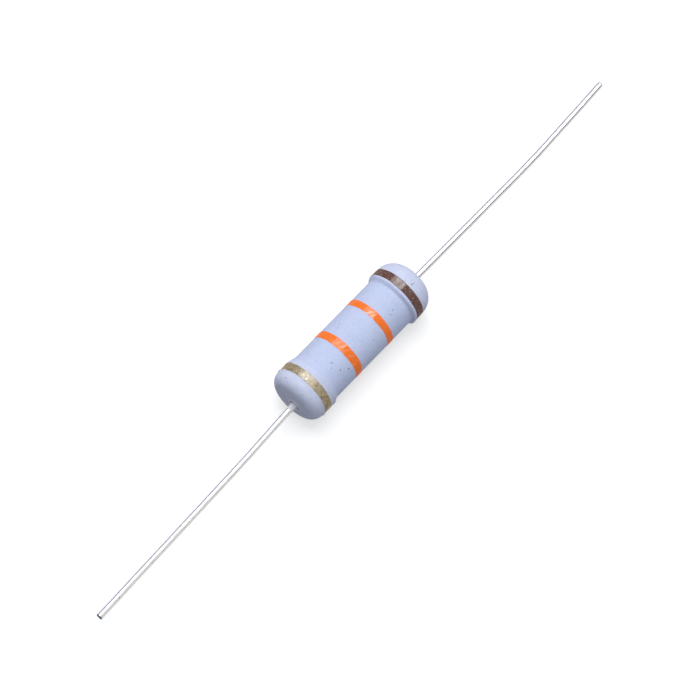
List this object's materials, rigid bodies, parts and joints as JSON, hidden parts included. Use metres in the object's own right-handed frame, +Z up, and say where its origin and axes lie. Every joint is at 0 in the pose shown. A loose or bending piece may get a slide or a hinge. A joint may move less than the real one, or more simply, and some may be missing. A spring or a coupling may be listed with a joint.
{
  "type": "axial power resistor",
  "caption": "Painted cylindrical power resistor with stepped ends, colour bands and bare tinned axial wire leads, lying on its side.",
  "frame": {"origin": "middle of the part's length, at the level of the surface that it lies on, straight below the body's axis", "axes": "+X along the resistor's axis, towards the gold band's lead; +Z up, away from the surface; +Y level, across the body"},
  "size_m": [0.1008, 0.0082, 0.0082],
  "materials": {
    "alumina": "fired, ground round, unglazed",
    "oxide_film": "thin dark metal-oxide film, trimmed by a helical groove",
    "cap_steel": "drawn steel, tin plated",
    "tinned_wire": "bright tin over copper, drawn lengthwise",
    "body_paint": "satin flameproof paint, lavender grey, faintly pitted",
    "brown_enamel": "glossy brown enamel with uneven highlights",
    "orange_enamel": "glossy orange enamel",
    "gold_enamel": "gold enamel with metal flakes"
  },
  "bodies": {
    "root": {"ceramic_core": "alumina", "resistive_film": "oxide_film", "end_cap_brown": "cap_steel", "end_cap_gold": "cap_steel", "lead_brown": "tinned_wire", "lead_gold": "tinned_wire", "coating": "body_paint", "band_brown": "brown_enamel", "band_orange_1": "orange_enamel", "band_orange_2": "orange_enamel", "band_gold": "gold_enamel"}
  },
  "joints": []
}
